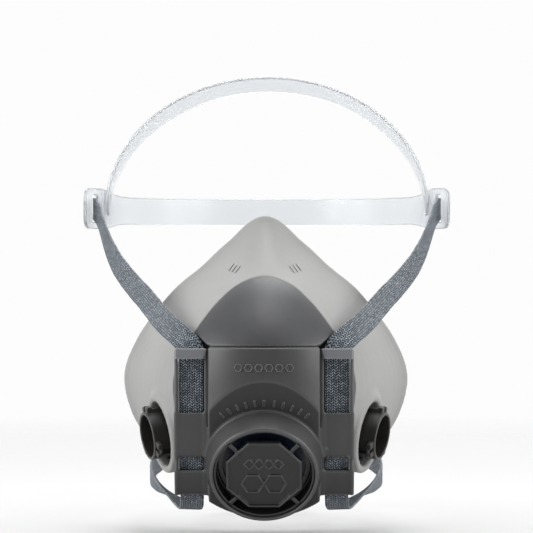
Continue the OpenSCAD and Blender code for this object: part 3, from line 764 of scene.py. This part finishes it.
def make_ports(material):
    """The filter ports: a flanged tube with three split bayonet lugs."""
    grid = Grid((-15, -15, -7.4), (15, 15, 7), 0.33)
    rho, h = np.hypot(grid.x, grid.y), grid.z
    field = ring(rho, h, PORT_BORE_R, PORT_R, -7, 6, 0.5)
    field = smooth_min(field, ring(rho, h, 10, PORT_FLANGE_R, -6.5, -5, 0.4), 0.3)
    for q in range(3):
        x, y = turned_by(grid, 180 + 120 * q)
        lug = smooth_max(slab(rho, 10.2, 13.4), slab(h, 2.8, 5.2), 0.6)
        lug = smooth_max(lug, np.maximum(np.abs(y) - 3.6, -x), 0.6)
        lug = smooth_max(lug, -np.maximum(np.abs(y) - 1, 4 - h), 0.4)
        leg = np.maximum(slab(rho, 10.2, 12.6), slab(h, -5.2, 3))
        leg = smooth_max(leg, np.maximum(slab(y, 2.4, 3.6), -x), 0.4)
        field = smooth_min(field, smooth_min(lug, leg, 0.4), 0.5)
    points, quads = grid.mesh(field)
    stand_pair("port_skin", from_port(points), quads, material, "facepiece", "port", "port")


def octagon(grid, flats):
    """Distance outside an octagon about Z with two of its flats upright."""
    corners = [np.abs(turned_by(grid, a)[0]) for a in (0, 45, 90, 135)]
    flat_shape = (grid.shape[0], grid.shape[1], 1)
    return np.maximum.reduce([np.broadcast_to(c, flat_shape) for c in corners]) - flats / 2


def hexagon(u, v, size):
    """Distance outside a hexagon whose flats lie size from its centre, up and down."""
    u, v = np.abs(u), np.abs(v)
    return np.maximum(v * 0.5 + u * 0.866, v) - size


def make_grille(material):
    """The valve's cover: an octagonal plate with a raised rim, on four arms in its ring."""
    grid = Grid((-22.6, -22.6, 1.6), (22.6, 22.6, 12), 0.36)
    rho, h = np.hypot(grid.x, grid.y), grid.z
    field = ring(rho, h, 20.9, 22, 2, 9.6, 0.4)
    plate = smooth_max(octagon(grid, COVER_FLATS), slab(h, 8, 11), 0.8)
    plate = smooth_max(plate, -smooth_max(octagon(grid, COVER_FLATS - 2.4), 9.6 - h, 0.3), 0.3)
    for q in range(4):
        x, y = turned_by(grid, 45 + 90 * q)
        arm = smooth_max(np.maximum(np.abs(y) - 0.9, slab(x, 15, 21.3)), slab(h, 7.6, 10.2), 0.5)
        plate = smooth_min(plate, arm, 0.8)
    # Plain raised outlines in the field of the plate: a row of lozenges over two hexagons.
    for x in (-6.3, -2.1, 2.1, 6.3):
        lozenge = (np.abs(grid.x - x) + np.abs(grid.y - 5.4)) * 0.707 - 1.725
        plate = smooth_min(plate, smooth_max(np.abs(lozenge) - 0.32, slab(h, 9.2, 10.6), 0.2), 0.15)
    for x in (-4.9, 4.9):
        line = np.abs(hexagon(grid.x - x, grid.y + 4.6, 4.3)) - 0.38
        plate = smooth_min(plate, smooth_max(line, slab(h, 9.2, 10.6), 0.2), 0.15)
    points, quads = grid.mesh(smooth_min(field, plate, 0.6))
    cover = build("valve_grille_skin", from_valve(points), quads, material)
    stand(cover, "harness", "grille", "valve_grille")


def make_marks(yoke, seal):
    """Plain raised shapes: hexagons on the panel, ticks round the collar and strokes on the seal."""
    grid = Grid((-14, -67, 3.5), (14, -62, 9), 0.2)
    panel = np.hypot(grid.x, grid.y - PANEL_AXIS_Y) - PANEL_R + PANEL_LEAN * (grid.z + 2) ** 2
    row = np.minimum.reduce([np.abs(hexagon(grid.x - x, grid.z - 6.3, 1.45)) - 0.28
                             for x in (-11, -6.6, -2.2, 2.2, 6.6, 11)])
    points, quads = grid.mesh(smooth_max(row, np.maximum(panel - 0.38, -0.6 - panel), 0.25))
    stand(build("panel_marks", points, quads, yoke), "harness", "yoke")

    grid = Grid((-23, 18, -0.8), (23, 36, 0.9), 0.22)
    ticks = []
    for degrees in (-37, -30, -22.5, -15, -7.5, 0, 8.5, 16, 23.5, 31, 38):
        x, y = turned_by(grid, -degrees)
        ticks.append(pill(x, y - 30.2, 0.5 if degrees % 2 else 0.62, 1.75))
    row = np.minimum.reduce(ticks)
    points, quads = grid.mesh(smooth_max(row, np.maximum(grid.z - 0.4, -0.6 - grid.z), 0.25))
    stand(build("collar_marks", from_valve(points), quads, yoke), "harness", "yoke")

    grid = Grid((9, -26, 44), (19, -4, 55), 0.24)
    u, v = grid.x - 13.8, grid.z - 49.4
    across, along = 0.80 * u + 0.60 * v, 0.80 * v - 0.60 * u
    row = np.minimum.reduce([pill(across - 1.5 * k, along + 0.5 * k, 0.34, 2.0) for k in (-1, 0, 1)])
    wall = seal_wall(grid)
    inner_half = 0.4 * (grid.y + 12.1 - 1.4 * u - 1.9 * v)
    skin = np.maximum(np.maximum(wall - 0.38, -0.7 - wall), inner_half)
    points, quads = grid.mesh(smooth_max(row, skin, 0.25))
    stand_pair("seal_marks", points, quads, seal, "facepiece", "seal")


def make_clasp(material):
    """The neck clasp: a slotted eye with a window, and the ribbed hook that sits in it."""
    grid = Grid((-31, -0.6, -9.2), (31, 5.6, 9.2), 0.4)

    def plate(x, y, z, corner=2.4):
        face = smooth_max(slab(grid.x, *x), np.abs(grid.z) - z, corner)
        return smooth_max(face, slab(grid.y, *y), 0.7)

    def slots(sign):
        cuts = [smooth_max(slab(sign * grid.x, x, x + 2.6), np.abs(grid.z) - 6.2, 1.0)
                for x in (22.4, 26.4)]
        return -np.minimum(*cuts)

    eye = smooth_max(plate((-30, 6), (0, 2.4), 8.5), slots(-1), 0.5)
    eye = smooth_max(eye, -smooth_max(slab(grid.x, -4, 3), np.abs(grid.z) - 5, 0.8), 0.4)
    hook = smooth_min(plate((-5.6, 8.4), (2.8, 4.8), 8.5), plate((8, 30), (0.8, 3.2), 8.5), 0.6)
    hook = smooth_min(hook, plate((-3.6, 2.6), (0.4, 3.1), 4.6, 1.0), 0.4)
    for x in (-1, 1.5, 4):
        hook = smooth_min(hook, plate((x - 0.5, x + 0.5), (4.4, 5.2), 6, 0.4), 0.3)
    hook = smooth_max(hook, slots(1), 0.5)
    for name, field, body in (("clasp_eye", eye, "harness"), ("clasp_hook", hook, "hook")):
        points, quads = grid.mesh(field)
        stand(build(f"{name}_skin", points + CLASP_POS, quads, material), body, "clasp", name)


# ---------------------------------------------------------------- materials
def dress_nodes(looks):
    """Gives the CAD nodes that stay in view their materials."""
    for node, material in looks.items():
        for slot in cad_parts[node].material_slots:
            slot.material = material


def plastic(name, colour, grain=0.06, rough=0.4, painted_underside_shade=None):
    """Moulded plastic: spark-eroded grain, faint mottling, and convex edges lightened partly as polish and
    wear and partly as painted highlight.

    The underside factor, when given, scales the colour of faces that look down: painted shade, darker where
    less light reaches them.
    """
    m = Nodes(name)
    light = tuple(min(1, c * 1.18 + 0.004) for c in colour)
    dark = tuple(c * 0.86 for c in colour)
    base = m.mix(m.noise(0.12, 4, 0.6), dark, light)
    # Painted shade: faces that look down get a darker colour, where less light reaches them.
    if painted_underside_shade:
        split = m.add("ShaderNodeSeparateXYZ")
        m.feed(split, 0, m.add("ShaderNodeNewGeometry").outputs["Normal"])
        down = m.math("MULTIPLY", split.outputs[2], -1)
        down = m.ramp(down, [(0.26, (0, 0, 0)), (0.40, (1, 1, 1))])
        base = m.mix(down, base, tuple(c * painted_underside_shade for c in colour))
    # Convex edges lightened: partly wear and polish, partly painted highlight.
    worn_and_highlit_edges = m.mix(m.edge(), base, tuple(min(1, c * 1.5 + 0.035) for c in colour))
    m.link(worn_and_highlit_edges, "Base Color")
    m.link(m.remap(m.noise(0.7, 3, 0.6), rough - 0.07, rough + 0.09), "Roughness")
    fine = m.bump(m.noise(3.2, 4, 0.65), grain, 0.5)
    m.link(m.bump(m.noise(0.25, 2), 0.05, 0.35, fine), "Normal")
    return m.material


def mottled(m, colour, noise, dark, light):
    """The colour, varied by noise between two factors of itself."""
    return m.mix(noise, tuple(c * dark for c in colour), tuple(c * light for c in colour))


def elastomer(name, colour):
    """Soft matt elastomer with a little light inside it and a fine moulded texture."""
    m = Nodes(name)
    m.link(mottled(m, colour, m.noise(0.05, 4, 0.55), 0.93, 1.05), "Base Color")
    m.set(**{"Subsurface Weight": 0.12, "Subsurface Scale": 0.004, "Subsurface Radius": (1.0, 0.9, 0.8),
             "Sheen Weight": 0.12, "Sheen Roughness": 0.5})
    m.link(m.remap(m.noise(0.4, 3), 0.50, 0.62), "Roughness")
    m.link(m.bump(m.noise(1.6, 4, 0.6), 0.03, 0.5), "Normal")
    return m.material


def rubber(name, colour, rough=0.45):
    """Smooth moulded rubber: a satin skin with fine specks."""
    m = Nodes(name)
    m.link(mottled(m, colour, m.noise(0.3, 3), 0.8, 1.25), "Base Color")
    m.link(m.remap(m.noise(1.1, 3), rough - 0.06, rough + 0.08), "Roughness")
    m.link(m.bump(m.noise(2.4, 3), 0.03, 0.4), "Normal")
    return m.material


def knitted(name):
    """Knitted elastic webbing: columns of slanted stitches, each with its own shade of colour, with painted
    shade in the troughs between them.
    """
    m = Nodes(name)
    uv = m.add("ShaderNodeUVMap", uv_map="weave").outputs["UV"]
    split = m.add("ShaderNodeSeparateXYZ")
    m.feed(split, 0, uv)
    across, along = split.outputs[0], split.outputs[1]
    columns = m.math("DIVIDE", across, RIB)
    column = m.math("FLOOR", m.math("ADD", columns, 0.5))
    inside = m.math("SUBTRACT", columns, column)
    odd = m.math("MODULO", m.math("ADD", column, 40), 2)
    lean = m.math("SUBTRACT", m.math("MULTIPLY", odd, 1.8), 0.9)
    rows = m.math("ADD", m.math("DIVIDE", along, STITCH), m.math("MULTIPLY", inside, lean))
    row = m.math("FLOOR", rows)
    within = m.math("SUBTRACT", m.math("FRACT", rows), 0.5)
    cell = m.add("ShaderNodeCombineXYZ")
    m.feed(cell, 0, column)
    m.feed(cell, 1, row)
    shade = m.add("ShaderNodeTexWhiteNoise", noise_dimensions="3D")
    m.feed(shade, "Vector", cell.outputs[0])
    loop = m.math("SUBTRACT", 1, m.math("MULTIPLY", m.math("ABSOLUTE", within), 1.9))
    trough = m.math("POWER", m.math("MULTIPLY", m.math("ABSOLUTE", inside), 2), 3)
    height = m.math("MULTIPLY", loop, m.math("SUBTRACT", 1, m.math("MULTIPLY", trough, 0.55)))
    colour = m.ramp(shade.outputs["Value"], [(0.0, (0.18, 0.215, 0.25)), (0.5, (0.31, 0.365, 0.42)),
                                             (1.0, (0.54, 0.60, 0.66))])
    # Painted shade: the low parts of each stitch fade to near black, where the knit shadows itself.
    lit = m.ramp(height, [(0.38, (0, 0, 0)), (0.73, (1, 1, 1))])
    dark = m.mix(lit, (0.012, 0.014, 0.018), colour)
    fuzz = m.noise(2.6, 4, 0.7)
    m.link(m.mix(m.math("MULTIPLY", fuzz, 0.22), dark, (0.08, 0.095, 0.115)), "Base Color")
    m.link(m.remap(fuzz, 0.72, 0.92), "Roughness")
    m.set(**{"Sheen Weight": 0.25, "Sheen Roughness": 0.4, "Specular IOR Level": 0.25})
    m.link(m.bump(height, 0.35, 1.0, m.bump(fuzz, 0.06, 0.5)), "Normal")
    return m.material


def clear_plastic(name):
    """Clear moulded sheet: faint flow marks, fine scratches and a touch of haze."""
    m = Nodes(name)
    m.set(**{"Base Color": (0.86, 0.885, 0.91), "Transmission Weight": 0.86, "IOR": 1.46})
    scratch = m.noise(1.0, 2, 0.5, m.place((0.15, 0.15, 4)))
    haze = m.math("ADD", m.noise(0.15, 3), m.math("MULTIPLY", scratch, 0.4))
    m.link(m.remap(haze, 0.10, 0.28), "Roughness")
    m.link(m.bump(m.noise(0.09, 2), 0.25, 0.35, m.bump(scratch, 0.01, 0.3)), "Normal")
    return m.material


def make_materials():
    return {
        "seal": elastomer("seal", (0.255, 0.255, 0.25)),
        "shell": plastic("shell", (0.0275, 0.0285, 0.032), 0.08, 0.44),
        # Painted shade: the yoke's faces that look down, such as the step above the valve collar, are
        # darkened to 0.3 of its colour.
        "yoke": plastic("yoke", (0.036, 0.0365, 0.038), painted_underside_shade=0.3),
        # Painted highlight: the bars share the yoke's plastic but get a lighter colour for the light that
        # their tops catch.
        "bar": plastic("strap_bar", (0.105, 0.109, 0.118)),
        "grille": plastic("grille", (0.0105, 0.011, 0.0115)),
        "port": plastic("port", (0.0125, 0.0112, 0.0098), 0.03, 0.42),
        "seat": plastic("valve_seat", (0.050, 0.051, 0.055), 0.03, 0.45),
        "clasp": plastic("clasp", (0.030, 0.031, 0.034), 0.04, 0.45),
        "gasket": rubber("gasket", (0.018, 0.018, 0.019)),
        "flap": rubber("flap", (0.016, 0.028, 0.055), 0.36),
        "webbing": knitted("webbing"),
        "cradle": clear_plastic("cradle"),
    }


make_camera()
make_world()
make_floor()
make_light("key", (-1.0, -0.42, 0.42), (0, 0, 0), 12, 0.8)
make_light("fill", (1.0, -0.38, 0.42), (0, 0, 0), 10, 0.8)
make_light("top", (0.06, -0.12, 1.15), (0, 0, 0.02), 7, 0.8)
make_light("rim", (0.1, 0.9, 1.1), (0, 0.05, 0.05), 6, 0.7)
materials = make_materials()
make_seal(materials["seal"])
make_shell(materials["shell"])
make_yoke(materials["yoke"])
make_bars(materials["bar"])
make_grille(materials["grille"])
make_marks(materials["yoke"], materials["seal"])
make_ports(materials["port"])
make_clasp(materials["clasp"])
make_straps(materials["webbing"])
make_cradle(materials["cradle"])
looks = {"exhalation_seat": "seat", "exhalation_gasket": "gasket", "exhalation_flap": "flap"}
for _, word in SIDES:
    looks |= {f"{word}_port_gasket": "gasket", f"{word}_inhalation_seat": "port",
              f"{word}_inhalation_flap": "flap"}
dress_nodes({node: materials[look] for node, look in looks.items()})
